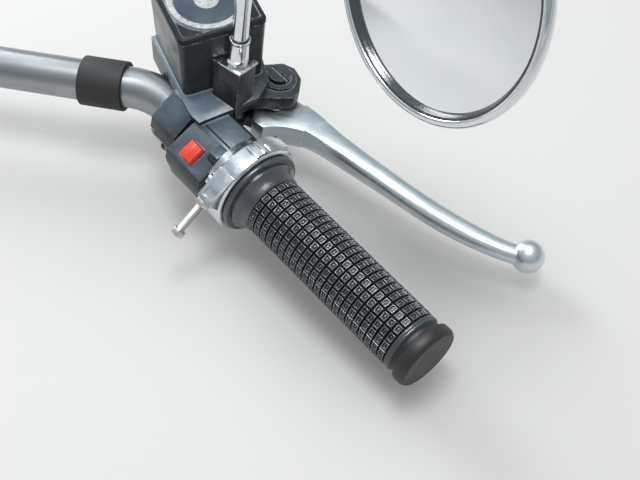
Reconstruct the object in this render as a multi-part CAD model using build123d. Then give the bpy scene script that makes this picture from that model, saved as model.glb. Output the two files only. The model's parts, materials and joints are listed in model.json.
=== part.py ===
"""Motorcycle handlebar with its hand controls.

A narrow one-piece bar, 22.2 mm across, clamped at its middle. The right end carries the
front brake master cylinder and lever, the kill switch box and a quick-action twist grip.
The left end carries the clutch perch and lever, the light switch box and a fixed grip.
Each side has a round mirror on a bent stem.

Frame: origin at the middle of the clamped section, +X to the rider's right, +Y forward,
+Z up. All sizes are in millimetres. A control end is drawn in its own frame: station s
runs outwards along the bar from the bend point, f runs forward and h runs up.
"""
from build123d import *
import os
from math import cos, radians, sin

# Handlebar
bar_diameter = 22.2
bend_point_x = 152.5
pullback_angle = 36.5
droop_angle = 5.0
bend_radius = 42.0
tape_start = 112.0
tape_length = 24.0
tape_radius = 13.4

# Stations along a control end, measured outwards from the bend point
perch_start = 18.0
perch_width = 19.0
switch_gap = 1.5
switch_length = 27.0
housing_gap = 0.8
collar_length = 6.0
housing_length = 16.7
flange_recess = 5.3
flange_length = 3.6
second_ring_length = 4.0
neck_length = 8.0
waffle_length = 97.0
groove_length = 6.0
end_flange_length = 7.0
end_wall = 4.0
left_shift = 15.0

# Radii of what sits round the bar
running_clearance = 0.3
tube_wall = 1.7
grip_radius = 16.4
neck_radius = 18.6
second_ring_radius = 19.9
flange_radius = 21.3
end_flange_radius = 17.8
groove_radius = 15.6
housing_radius = 25.5
housing_bore = 22.3
collar_radius = 19.5
end_round = 2.2

# Lever
lever_tilt = -8.0
pivot_s = 39.0
pivot_f = 50.0
root_thickness = 10.0
blade_thickness = 13.0
lever_step_reach = 18.6
eye_room = 11.5
crown_height = 1.5
hood_underside = 7.2
root_end = 70.0
lug_clearance = 0.3
pivot_pin_radius = 4.0
pivot_head_radius = 6.5
pivot_head_height = 3.0
ball_radius = 8.7
ball_s = 195.6
ball_f = 87.0

# Perch clamp and its deck
clamp_split = -1.0
clamp_gap = 1.6
lug_thickness = 10.0
lower_lug_thickness = 7.0
deck_top = 19.0
deck_overhang = 16.6
deck_floor = 2.0
deck_lip = 48.0

# Master cylinder
barrel_radius = 12.0
barrel_f = 31.0
barrel_start = -16.0
barrel_end = 36.8
barrel_mouth_radius = 9.2
barrel_mouth_depth = 6.0
boot_radius = 8.8
boot_recess = 0.4
banjo_radius = 8.0
banjo_height = 6.0
banjo_head_radius = 7.0
banjo_head_height = 6.0

# Reservoir
reservoir_size = 46.0
reservoir_height = 38.0
reservoir_turn = -17.0
reservoir_s = 10.8
reservoir_f = 27.3
reservoir_taper = 1.2
reservoir_corner = 3.0
lid_thickness = 3.5
lid_overhang = 0.2
lid_round = 1.6
lid_rim_width = 2.4
lid_recess = 0.7
cap_radius = 19.9
cap_shift_s = 0.9
cap_shift_f = -0.6
cap_height = 1.5
cap_recess = 0.6
cap_ring_width = 3.0

# Clutch side
adjuster_radius = 4.8
adjuster_length = 18.0
adjuster_bore = 3.2
adjuster_bore_depth = 12.0
wheel_radius = 9.0
wheel_thickness = 5.0
clutch_barrel_radius = 8.0
clutch_barrel_setback = 1.0

# Buttons of the switch boxes
rocker_s = 51.3
rocker_f = -15.0
rocker_h = 9.6
rocker_width = 8.2
rocker_length = 9.6
rocker_depth = 6.6
rocker_tilt = 24.8
horn_s = 52.0
horn_f = -18.5
horn_h = -6.5
horn_radius = 5.0
horn_travel = 7.0
button_gap = 0.3

# Throttle housing
split_turn = 25.0
pad_radius = 28.0
pad_step_radius = 27.2
pad_from_angle = 42.0
pad_step_angle = 80.0
pad_to_angle = 90.0
pad_start = 75.0
pad_end = 83.6
pad_groove_angle = 73.0
pad_groove_start = 79.0
lug_start_s = 73.4
lug_end_s = 83.6
lug_angle = 214.0
lug_offset = 21.7
lug_reach = 18.2
lug_half = 4.6
screw_s = 76.5
screw_radius = 2.0
screw_length = 16.0
screw_head_radius = 3.4
screw_head_height = 3.6
screw_nut_radius = 4.3
screw_nut_height = 3.4
eyelet_s = 69.5
eyelet_f = -18.0
eyelet_h = 10.3
eyelet_radius = 3.5
eyelet_thickness = 3.0
eyelet_hole = 1.4
cable_inlet_f = 19.5
cable_inlet_s = 79.5
cable_inlet_radius = 5.5
cable_inlet_end = -38.0
cable_bore = 3.2
cable_bore_depth = 12.0

# Mirror
mirror_base_s = 41.0
mirror_base_f = 22.5
mirror_base_h = 41.0
mirror_lean = 8.0
mirror_lean_heading = 45.0
boss_turn = 9.0
boss_length = 16.4
boss_width = 12.8
boss_shift_s = -2.5
boss_shift_f = 0.8
plate_thickness = 1.4
plate_margin = 0.8
mirror_nut_radius = 4.9
mirror_nut_height = 15.9
mirror_nut_flare = 0.4
mirror_nut_cup = 2.4
mirror_hex_radius = 5.7
mirror_hex_height = 4.0
stem_radius = 4.1
stem_clearance = 0.05
stem_rise = 54.0
stem_bend_radius = 13.0
mirror_radius = 57.0
mirror_rim_width = 6.5
mirror_rim_wall = 3.5
gasket_width = 2.2
glass_bulge = 0.6
glass_recess = 3.0
glass_bottom = 5.4
mirror_x = 299.4
mirror_y = -52.6
mirror_z = 142.2
mirror_ball_radius = 6.5
mirror_ball_back = 30.0
socket_radius = 9.0
socket_clearance = 0.1
arm_clearance = 2.5

mirror_centre = Vector(mirror_x, mirror_y, mirror_z)
mirror_facing = Vector(-0.624, -0.714, 0.318).normalized()
bar_radius = bar_diameter / 2
root_half = root_thickness / 2
blade_half = blade_thickness / 2
lug_start = root_half + lug_clearance
upper_lug_top = lug_start + lug_thickness
lower_lug_end = lug_start + lower_lug_thickness
perch_end = perch_start + perch_width
switch_start = perch_end + switch_gap
switch_end = switch_start + switch_length
collar_start = switch_end + housing_gap
housing_start = collar_start + collar_length
housing_face = housing_start + housing_length
flange_start = housing_face - flange_recess
second_ring_start = flange_start + flange_length
neck_start = second_ring_start + second_ring_length
waffle_start = neck_start + neck_length
waffle_end = waffle_start + waffle_length
end_flange_start = waffle_end + groove_length
grip_end = end_flange_start + end_flange_length
bar_end = grip_end - end_wall - 1.0
tube_bore = bar_radius + running_clearance
tube_radius = tube_bore + tube_wall

control_axis = Vector(
    cos(radians(droop_angle)) * cos(radians(pullback_angle)),
    -cos(radians(droop_angle)) * sin(radians(pullback_angle)),
    -sin(radians(droop_angle)),
)
control_up = (Vector(0, 0, 1) + control_axis * sin(radians(droop_angle))).normalized()
control_plane = Plane(origin=(bend_point_x, 0, 0), x_dir=control_axis, z_dir=control_up)
control_forward = control_up.cross(control_axis)
lever_up = control_up * cos(radians(lever_tilt)) - control_forward * sin(radians(lever_tilt))
perch_plane = Plane(origin=(bend_point_x, 0, 0), x_dir=control_axis, z_dir=lever_up)

pieces = {}


def place(plane, shape):
    """Put a shape drawn in a control end's frame at the right-hand end of the bar."""
    return plane.location * shape


def left_twin(shape):
    """Mirror a right-hand shape and shift it outwards along the left control end."""
    return mirror(Pos(*(control_axis * left_shift)) * shape, about=Plane.YZ)


def turned(*outline):
    """Revolve an outline of (station, radius) points about the control axis."""
    return revolve(make_face(Polyline(*outline, close=True)), Axis.X, 360)


def slab(points, low, high):
    """Extrude a plan outline between two heights."""
    return Pos(0, 0, low) * extrude(make_face(Polyline(*points, close=True)), high - low)


def section_bar(points, s_from, s_to):
    """Extrude a cross-section of (f, h) points along the bar."""
    plane = Plane(origin=(s_from, 0, 0), x_dir=(0, 1, 0), z_dir=(1, 0, 0))
    return extrude(plane * make_face(Polyline(*points, close=True)), s_to - s_from)


def upright(s, f, radius, low, high):
    """Cylinder standing on the plan."""
    return Pos(s, f, low) * extrude(Circle(radius), high - low)


def rod(s_from, s_to, f, h, radius):
    """Cylinder parallel to the control axis."""
    return Pos(s_from, f, h) * Rot(0, 90, 0) * extrude(Circle(radius), s_to - s_from)


def bar_bore(s_from, s_to):
    return rod(s_from, s_to, 0, 0, bar_radius)


def make_handlebar():
    reach = control_axis * bar_end
    right_end = Vector(bend_point_x, 0, 0) + reach
    left_end = Vector(-right_end.X, right_end.Y, right_end.Z)
    path = FilletPolyline(
        left_end, (-bend_point_x, 0, 0), (bend_point_x, 0, 0), right_end, radius=bend_radius
    )
    section = Plane(origin=path @ 0, z_dir=path % 0) * Circle(bar_radius)
    pieces["handlebar"] = sweep(section, path=path)
    wrap = Circle(tape_radius) - Circle(bar_radius)
    pieces["loom_tape"] = extrude(Plane.YZ.offset(tape_start) * wrap, tape_length)


def clamp_halves():
    """Upper and lower halves of the faceted clamp round the bar, in the perch frame."""
    low = clamp_split
    gap = clamp_split - clamp_gap
    upper = [(-17.5, low), (-17.0, 6.8), (-4.2, 17.6), (8.0, 17.6), (14.0, 8.0), (14.0, low)]
    lower = [(-17.5, gap), (-15.5, -8.0), (-8.0, -16.0), (8.0, -16.0), (14.0, -9.0), (14.0, gap)]
    bore = bar_bore(perch_start - 1, perch_end + 1)
    return (
        section_bar(upper, perch_start, perch_end) - bore,
        section_bar(lower, perch_start, perch_end) - bore,
    )


def fork_outline():
    """Plan of the lever fork: it ends inside the circle that the lever swings in."""
    return [
        (24, 20), (barrel_end, 20), (barrel_end, 32.5), (45.5, 36.2), (51.6, 42.6), (53.6, 47.8),
        (52.0, 54.0), (46.0, 60.5), (38.0, 62.8), (31.5, 60.0), (26.5, 50.0),
    ]


def lever_lugs():
    """Fork that holds the lever, its hood over the lever's nose, and its web to the clamp."""
    outline = fork_outline()
    hood = [
        (24, 20), (42.1, 19.6), (42.3, 27.7), (45.2, 33.6), (50.5, 41.0), (54.4, 47.9), (52.5, 53.5),
        (46.0, 58.5), (38.0, 62.4), (31.5, 60.0), (26.5, 50.0),
    ]
    web = [(19, 8), (36, 8), (36, 24), (27.5, 38), (20, 38)]
    upper = slab(outline, lug_start, upper_lug_top)
    lower = slab(outline, -lower_lug_end, -lug_start)
    crown_top = upper_lug_top + crown_height
    crown = upright(pivot_s, pivot_f, pivot_head_radius + 3.0, upper_lug_top, crown_top)
    upper += slab(hood, hood_underside, upper_lug_top)
    return upper + lower + crown + slab(web, -lower_lug_end, upper_lug_top)


def lever_outline():
    """Plan outline of the lever's root: eye, cam and the start of the blade."""
    eye = 9.0
    nose = (43.5, 31.5)
    nose_low = (49.0, 25.0)
    nose_out = (56.0, 26.5)
    palm = (root_end, 42.8)
    back = (root_end, 58.4)
    shoulder = (47.5, 55.2)
    return make_face([
        Line((pivot_s, pivot_f - eye), nose),
        Line(nose, nose_low),
        Line(nose_low, nose_out),
        ThreePointArc(nose_out, (62.0, 36.2), palm),
        Line(palm, back),
        ThreePointArc(back, (58.5, 57.2), shoulder),
        Line(shoulder, (pivot_s, pivot_f + eye)),
        ThreePointArc((pivot_s, pivot_f + eye), (pivot_s - eye, pivot_f), (pivot_s, pivot_f - eye)),
    ])


def oval(width, thickness, fullness):
    """Blade section with rounded edges; at a fullness of one it would be a plain rectangle."""
    edge = fullness * width / 2
    flank = (0.5 + 0.5 * fullness) * thickness / 2
    half = width / 2
    top = thickness / 2
    return make_face([
        ThreePointArc((-edge, flank), (0, top), (edge, flank)),
        ThreePointArc((edge, flank), (half, 0), (edge, -flank)),
        ThreePointArc((edge, -flank), (0, -top), (-edge, -flank)),
        ThreePointArc((-edge, -flank), (-half, 0), (-edge, flank)),
    ])


def lever_blade():
    """Blade lofted through ovals: station, forward, heading, width, thickness and fullness."""
    rows = [
        (root_end - 2.0, 50.4, 4.0, 15.8, blade_thickness, 0.97),
        (80.0, 53.2, 6.0, 14.3, 12.8, 0.8),
        (100.0, 56.6, 10.0, 13.8, 12.4, 0.7),
        (125.0, 61.3, 11.0, 13.5, 11.6, 0.64),
        (150.0, 66.4, 14.0, 13.3, 10.8, 0.64),
        (170.0, 72.7, 20.0, 12.4, 10.2, 0.64),
        (187.0, 80.2, 27.0, 10.8, 9.6, 0.64),
        (ball_s - 2.0, ball_f - 2.2, 34.0, 10.8, 10.0, 0.64),
    ]
    sections = []
    for station, forward, heading, width, thickness, fullness in rows:
        out = Vector(cos(radians(heading)), sin(radians(heading)), 0)
        across = Vector(-out.Y, out.X, 0)
        plane = Plane(origin=(station, forward, 0), x_dir=across, z_dir=out)
        sections.append(plane * oval(width, thickness, fullness))
    return loft(sections)


def lever_step_room():
    """What is cut from the top of the lever's root, so that it fits between the lugs."""
    top = 3 * root_half
    near_eye = [(30, 15), (43.5, 31.5), (49.5, 34.0), (60, 66), (30, 66)]
    return slab(near_eye, root_half, top) & upright(pivot_s, pivot_f, lever_step_reach, root_half, top)


def make_levers():
    root = Pos(0, 0, -blade_half) * extrude(lever_outline(), blade_thickness)
    room = lever_step_room()
    root -= room + mirror(room, about=Plane.XY)
    blade = root + lever_blade() + Pos(ball_s, ball_f, 0) * Sphere(ball_radius)
    eye = upright(pivot_s, pivot_f, pivot_pin_radius + socket_clearance / 2, -2 * root_half, 2 * root_half)
    lever = place(perch_plane, blade - eye)
    pieces["brake_lever"] = lever
    pieces["clutch_lever"] = left_twin(lever)
    top = upper_lug_top + crown_height
    bolt = upright(pivot_s, pivot_f, pivot_pin_radius, -lower_lug_end, top)
    bolt += upright(pivot_s, pivot_f, pivot_head_radius, top, top + pivot_head_height)
    slot = Pos(pivot_s, pivot_f, top + pivot_head_height) * Box(2 * pivot_head_radius + 1, 1.6, 2.4)
    bolt = place(perch_plane, bolt - slot)
    pieces["brake_pivot_bolt"] = bolt
    pieces["clutch_pivot_bolt"] = left_twin(bolt)


def mirror_axis():
    lean = radians(mirror_lean)
    heading = radians(mirror_lean_heading)
    return Vector(sin(lean) * cos(heading), sin(lean) * sin(heading), cos(lean))


def mirror_base_plane():
    """Plane at the top of the mirror boss, turned with the control end."""
    spot = Pos(mirror_base_s, mirror_base_f, mirror_base_h) * Rot(0, 0, boss_turn)
    frame = control_plane.location * spot
    axis = mirror_axis()
    along = Plane(frame).x_dir
    across = (along - axis * along.dot(axis)).normalized()
    return Plane(origin=frame.position, x_dir=across, z_dir=axis)


def mirror_boss():
    """Square post that carries the mirror, from inside the deck up to the mirror's plate."""
    height = mirror_base_h - deck_top + 6.0
    post = Pos(boss_shift_s, boss_shift_f, -height / 2) * Box(boss_length, boss_width, height)
    return mirror_base_plane().location * post


def perch_deck():
    """Faceted casting between the clamp and the reservoir, its outboard lip over the switch box."""
    plan = [
        (26.6, -2.2), (36.4, -5.0), (43.4, -4.6), (deck_lip, 17.8), (49.5, 29.0), (44.0, 41.0),
        (30.0, 48.0), (-4, 50), (-14, 36), (-18.2, 11.6),
    ]
    profile = [
        (-25, deck_floor), (perch_end, deck_floor), (perch_end, deck_overhang), (55, deck_overhang),
        (55, deck_top), (-25, deck_top),
    ]
    side = Plane(origin=(0, -10, 0), x_dir=(1, 0, 0), z_dir=(0, -1, 0))
    wedge = extrude(side * make_face(Polyline(*profile, close=True)), -70)
    return slab(plan, deck_floor, deck_top) & wedge


def below_clamp_split():
    """Space that the lower clamp half takes."""
    room = [(-20, -20), (14.3, -20), (14.3, clamp_split), (-20, clamp_split)]
    return section_bar(room, perch_start - 20, perch_end + 5)


def lever_slot():
    """Room in the body for the lever's eye, its cam, its bolt and the bolt's head."""
    room = slab([(barrel_end, 19), (60, 19), (60, 60), (barrel_end, 60)], -lug_start, lug_start)
    room += upright(pivot_s, pivot_f, eye_room, -lug_start, lug_start)
    room += upright(pivot_s, pivot_f, pivot_pin_radius, -lower_lug_end - 1, 5 * lug_start)
    room += upright(pivot_s, pivot_f, pivot_head_radius + 0.5, upper_lug_top + crown_height, 5 * lug_start)
    return room + slab([(40, 52), (60, 52), (60, 75), (40, 75)], -lug_start, lug_start)


def finish_perch(perch_frame, control_frame):
    lip = slab([(-40, -40), (80, -40), (80, 80), (-40, 80)], deck_overhang, 2 * mirror_base_h)
    boss = (mirror_boss() & place(control_plane, lip)) - place(control_plane, tank_spot() * tank_body())
    body = place(perch_plane, perch_frame) + place(control_plane, control_frame) + boss
    body -= place(control_plane, bar_bore(perch_start - 20, perch_end + 20))
    body -= place(control_plane, cover_room())
    body -= pieces["handlebar"]
    return body - place(perch_plane, below_clamp_split() + lever_slot())


def cover_room():
    """Room over the switch box, which tucks in below the deck's lip."""
    return section_bar([(-30, -25), (18, -25), (18, deck_overhang), (-30, deck_overhang)],
                       perch_end, perch_end + 40)


def make_brake_side():
    upper, cap = clamp_halves()
    barrel = rod(barrel_start, barrel_end, barrel_f, 0, barrel_radius)
    body = finish_perch(upper + lever_lugs() + barrel, perch_deck())
    mouth = rod(barrel_end - barrel_mouth_depth, barrel_end, barrel_f, 0, barrel_mouth_radius)
    pieces["brake_master_cylinder"] = body - place(perch_plane, mouth)
    pieces["brake_clamp_cap"] = place(perch_plane, cap)
    boot_start = barrel_end - barrel_mouth_depth
    boot_end = barrel_end - boot_recess
    third = (boot_end - boot_start) / 3
    boot = rod(boot_start, boot_start + third, barrel_f, 0, boot_radius)
    boot += rod(boot_start + third, boot_start + 2 * third, barrel_f, 0, boot_radius - 1.2)
    boot += rod(boot_start + 2 * third, boot_end, barrel_f, 0, boot_radius - 2.4)
    pieces["piston_boot"] = place(perch_plane, boot)
    face = Pos(barrel_start, barrel_f, 0) * Rot(0, -90, 0)
    union = face * extrude(Circle(banjo_radius), banjo_height)
    head = face * Pos(0, 0, banjo_height) * extrude(RegularPolygon(banjo_head_radius, 6), banjo_head_height)
    pieces["banjo_bolt"] = place(perch_plane, union + head)


def tank_spot():
    return Pos(reservoir_s, reservoir_f, deck_top) * Rot(0, 0, reservoir_turn)


def tank_body(grown=0.0):
    """Reservoir tank, a little wider at the top than at the bottom."""
    wide = reservoir_size + 2 * grown
    narrow = wide - 2 * reservoir_taper
    top = RectangleRounded(wide, wide, reservoir_corner)
    bottom = RectangleRounded(narrow, narrow, reservoir_corner)
    return loft([bottom, Pos(0, 0, reservoir_height) * top])


def make_reservoir():
    """Square tank with a flat lid, and a round cap with a raised ring in the lid's middle."""
    lid_size = reservoir_size + 2 * lid_overhang
    lid_base = Pos(0, 0, reservoir_height)
    lid = lid_base * extrude(RectangleRounded(lid_size, lid_size, reservoir_corner), lid_thickness)
    rim = lid.edges().filter_by_position(
        Axis.Z, reservoir_height + lid_thickness - 0.1, reservoir_height + lid_thickness + 0.1
    )
    lid = fillet(rim, lid_round)
    inner_size = lid_size - 2 * lid_rim_width
    lid_top = Pos(0, 0, reservoir_height + lid_thickness - lid_recess)
    lid -= lid_top * extrude(RectangleRounded(inner_size, inner_size, reservoir_corner / 2), lid_thickness)
    cap_base = lid_top * Pos(cap_shift_s, cap_shift_f)
    cap = cap_base * extrude(Circle(cap_radius), cap_height)
    cap -= cap_base * Pos(0, 0, cap_height - cap_recess) * extrude(Circle(cap_radius - cap_ring_width), 2)
    pieces["brake_reservoir"] = place(control_plane, tank_spot() * tank_body())
    pieces["reservoir_lid"] = place(control_plane, tank_spot() * lid)
    pieces["reservoir_cap"] = place(control_plane, tank_spot() * cap)


def make_clutch_side():
    upper, cap = clamp_halves()
    barrel = rod(perch_start, barrel_end - clutch_barrel_setback, barrel_f, 0, clutch_barrel_radius)
    outboard = [(perch_start, -12), (deck_lip + 7, -12), (deck_lip + 7, 45), (perch_start, 45)]
    deck = perch_deck() & slab(outboard, deck_floor, deck_top)
    pieces["clutch_perch"] = left_twin(finish_perch(upper + lever_lugs() + barrel, deck))
    pieces["clutch_clamp_cap"] = left_twin(place(perch_plane, cap))
    mouth = perch_start - adjuster_length
    adjuster = rod(mouth, perch_start, barrel_f, 0, adjuster_radius)
    adjuster -= rod(mouth, mouth + adjuster_bore_depth, barrel_f, 0, adjuster_bore)
    wheel = rod(perch_start - wheel_thickness, perch_start, barrel_f, 0, wheel_radius)
    wheel -= rod(mouth, perch_start, barrel_f, 0, adjuster_radius)
    for step in range(12):
        angle = radians(30 * step)
        notch_f = barrel_f + wheel_radius * cos(angle)
        wheel -= rod(perch_start - wheel_thickness, perch_start, notch_f, wheel_radius * sin(angle), 1.1)
    pieces["clutch_adjuster"] = left_twin(place(perch_plane, adjuster))
    pieces["clutch_adjuster_wheel"] = left_twin(place(perch_plane, wheel))


def switch_shells():
    """Upper and lower halves of a switch box, with its raised top panel and its end tower."""
    upper = [
        (15, 0), (15, 12), (12.5, 15.4), (-2.3, 15.4), (-4.7, 14.6), (-22.2, 6.8), (-23.5, 1.6), (-23.5, 0),
    ]
    lower = [(15, -0.5), (15, -8), (9, -16), (-8, -18), (-20.5, -14), (-23.5, -0.5)]
    bore = bar_bore(switch_start - 1, switch_end + 1)
    upper = section_bar(upper, switch_start, switch_end)
    panel = [(12.5, 15.4), (11.5, 16.3), (-1.0, 16.3), (-1.8, 15.4)]
    upper += section_bar(panel, switch_start, switch_end)
    tower = rod(switch_end - 6.0, switch_end, -7.5, 12.5, 5.0)
    tower &= section_bar([(-40, -1), (20, -1), (20, 16.3), (-40, 16.3)], switch_start, switch_end)
    return (upper + tower) - bore, section_bar(lower, switch_start, switch_end) - bore


def rocker(grown=0.0):
    """Ridged slide button on the sloping face of the switch box."""
    wide = rocker_width + 2 * grown
    long = rocker_length + 2 * grown
    button = Pos(0, 0, 0.4) * Box(wide, long, rocker_depth + 2 * grown)
    if grown:
        return button
    for row in range(4):
        button -= Pos(0.3 + 1.15 * row, 0, 3.7) * Box(0.5, long + 1, 0.9)
    return button


def make_switch_boxes():
    upper, lower = switch_shells()
    face = Pos(rocker_s, rocker_f, rocker_h) * Rot(rocker_tilt, 0, 0)
    pocket = face * rocker(button_gap)
    pieces["right_switch_upper"] = place(control_plane, upper - pocket)
    pieces["right_switch_lower"] = place(control_plane, lower)
    pieces["kill_switch"] = place(control_plane, face * rocker())
    horn = Pos(horn_s, horn_f, horn_h) * Rot(80, 0, 0)
    horn_button = horn * extrude(Circle(horn_radius), horn_travel)
    horn_pocket = horn * Pos(0, 0, -0.5) * extrude(Circle(horn_radius + button_gap), 2 * horn_travel)
    pieces["left_switch_upper"] = left_twin(place(control_plane, upper - pocket))
    pieces["left_switch_lower"] = left_twin(place(control_plane, lower - horn_pocket))
    pieces["light_switch"] = left_twin(place(control_plane, face * rocker()))
    pieces["horn_button"] = left_twin(place(control_plane, horn_button))


def sector(outer, from_angle, to_angle, s_from, s_to):
    """Solid slice of a disc round the bar, between two angles counted up from forward."""
    reach = 2 * outer
    corners = [(0, 0)]
    for angle in (from_angle, (from_angle + to_angle) / 2, to_angle):
        corners.append((reach * cos(radians(angle)), reach * sin(radians(angle))))
    return section_bar(corners, s_from, s_to) & rod(s_from, s_to, 0, 0, outer)


def make_throttle_housing():
    """Split housing of the quick-action twist grip, with its cover pad, arm, eyelet and inlet."""
    shell = turned(
        (collar_start, bar_radius), (collar_start, collar_radius), (housing_start, collar_radius),
        (housing_start, housing_radius - 1.4), (housing_start + 1.4, housing_radius),
        (housing_face - 1.0, housing_radius), (housing_face, housing_radius - 1.0),
        (housing_face, housing_bore), (housing_start + 2, housing_bore), (housing_start + 2, bar_radius),
    )
    inside = turned((housing_start + 2, 0), (100, 0), (100, housing_bore), (housing_start + 2, housing_bore))
    pad = sector(pad_radius, pad_from_angle, pad_step_angle, pad_start, pad_end)
    pad += sector(pad_step_radius, pad_step_angle, pad_to_angle, pad_start, pad_end)
    groove = Pos(pad_groove_start + 5, pad_radius, 0) * Box(10, 1.2, 1.0)
    pad -= Rot(pad_groove_angle, 0, 0) * groove
    tab_end = collar_start + collar_length
    eyelet = rod(tab_end - eyelet_thickness, tab_end, eyelet_f, eyelet_h, eyelet_radius)
    eyelet += section_bar([(-20, 12.5), (-15, 5), (0, 5), (0, 14)], tab_end - eyelet_thickness, tab_end)
    split = Rot(split_turn, 0, 0)
    far = 4 * housing_radius
    above = split * Pos(housing_start, 0, far / 2) * Box(far, far, far)
    seat = screw_seat()
    middle = (lug_start_s + lug_end_s) / 2 - screw_s
    arm = seat * Pos(middle, 0, -lug_reach / 2) * Box(lug_end_s - lug_start_s, 2 * lug_half, lug_reach)
    slot = seat * Pos(middle, lug_half, -5.0) * Box(6.4, 2.4, 5.6)
    arm -= slot
    inlet = Pos(cable_inlet_s, cable_inlet_f, cable_inlet_end) * extrude(Circle(cable_inlet_radius), 30)
    inlet_bore = Pos(cable_inlet_s, cable_inlet_f, cable_inlet_end) * extrude(
        Circle(cable_bore), cable_bore_depth
    )
    bore = bar_bore(collar_start - 1, 100) + rod(
        eyelet_s - 9, eyelet_s + 9, eyelet_f, eyelet_h, eyelet_hole
    )
    whole = shell + pad + eyelet + arm + inlet - inside - inlet_bore - bore
    pieces["throttle_housing_upper"] = place(control_plane, whole & above)
    pieces["throttle_housing_lower"] = place(control_plane, whole - above)
    nut = seat * extrude(RegularPolygon(screw_nut_radius, 6), screw_nut_height)
    screw = seat * Pos(0, 0, screw_nut_height) * extrude(Circle(screw_radius), screw_length)
    head_spot = seat * Pos(0, 0, screw_nut_height + screw_length)
    head = head_spot * extrude(Circle(screw_head_radius), screw_head_height)
    head -= head_spot * Pos(0, 0, screw_head_height) * Box(1.0, 3 * screw_head_radius, 2.4)
    pieces["friction_nut"] = place(control_plane, nut)
    pieces["friction_screw"] = place(control_plane, screw + head)


def screw_seat():
    """Place on the clamp lug's end face where the adjusting screw comes out, z outwards."""
    out_f = cos(radians(lug_angle))
    out_h = sin(radians(lug_angle))
    origin = (screw_s, lug_reach * out_f + lug_offset * out_h, lug_reach * out_h - lug_offset * out_f)
    return Plane(origin=origin, x_dir=(1, 0, 0), z_dir=(0, out_f, out_h)).location


def make_grips():
    drum = turned(
        (housing_start + 2.6, tube_bore), (bar_end + 0.6, tube_bore), (bar_end + 0.6, tube_radius),
        (second_ring_start, tube_radius), (second_ring_start, flange_radius),
        (flange_start, flange_radius), (flange_start, neck_radius),
        (housing_start + 2.6, neck_radius),
    )
    pieces["throttle_tube"] = place(control_plane, drum)

    def rubber(start, bore):
        return turned(
            (start, bore), (start, second_ring_radius), (neck_start, second_ring_radius),
            (neck_start, neck_radius), (waffle_start, grip_radius), (waffle_end, grip_radius),
            (waffle_end, groove_radius), (end_flange_start, groove_radius),
            (end_flange_start, end_flange_radius), (grip_end - end_round, end_flange_radius),
            (grip_end, end_flange_radius - end_round), (grip_end, 0),
            (grip_end - end_wall, 0), (grip_end - end_wall, bore),
        )

    pieces["right_grip"] = place(control_plane, rubber(second_ring_start, tube_radius))
    left = rubber(flange_start, bar_radius)
    pieces["left_grip"] = mirror(place(control_plane, left), about=Plane.YZ)


def make_mirrors():
    base = mirror_base_plane()
    plate_length = boss_length + 2 * plate_margin
    plate_width = boss_width + 2 * plate_margin
    outline = Pos(boss_shift_s, boss_shift_f) * Rectangle(plate_length, plate_width)
    plate = base.location * extrude(outline, plate_thickness)
    plate -= place(control_plane, tank_spot() * tank_body(0.3))
    nut = mirror_nut(base.offset(plate_thickness))
    ball = mirror_centre - mirror_facing * mirror_ball_back
    axis = mirror_axis()
    foot = base.origin + axis * plate_thickness
    elbow = base.origin + axis * stem_rise
    path = FilletPolyline(foot, elbow, ball, radius=stem_bend_radius)
    stem = sweep(Plane(origin=path @ 0, z_dir=path % 0) * Circle(stem_radius), path=path)
    arm = stem + Pos(*ball) * Sphere(mirror_ball_radius)
    head = Plane(origin=mirror_centre, z_dir=mirror_facing)
    bowl = make_mirror_bowl(head, ball, elbow)
    parts = {"plate": plate, "nut": nut, "arm": arm, **bowl}
    for name, solid in parts.items():
        pieces[f"right_mirror_{name}"] = solid
        pieces[f"left_mirror_{name}"] = left_twin(solid)


def mirror_nut(seat):
    """Sleeve nut on a hexagon, flared and cupped where the stem comes out."""
    bore = stem_radius + stem_clearance
    flared = mirror_nut_radius + mirror_nut_flare
    top = mirror_nut_height
    sleeve = head_turned(
        seat, (bore, 0), (mirror_nut_radius, 0), (mirror_nut_radius, top - mirror_nut_cup),
        (flared, top - 0.8), (flared, top), (flared - 0.6, top), (bore + 0.4, top - mirror_nut_cup),
        (bore, top - mirror_nut_cup),
    )
    hexagon = extrude(RegularPolygon(mirror_hex_radius, 6), mirror_hex_height)
    return sleeve + seat.location * (hexagon - extrude(Circle(bore), mirror_hex_height))


def head_turned(head, *outline):
    """Revolve an outline of (radius, depth) points about the axis that stands on a plane."""
    profile = make_face(Polyline(*[(r, 0, z) for r, z in outline], close=True))
    return head.location * revolve(profile, Axis.Z, 360)


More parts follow.
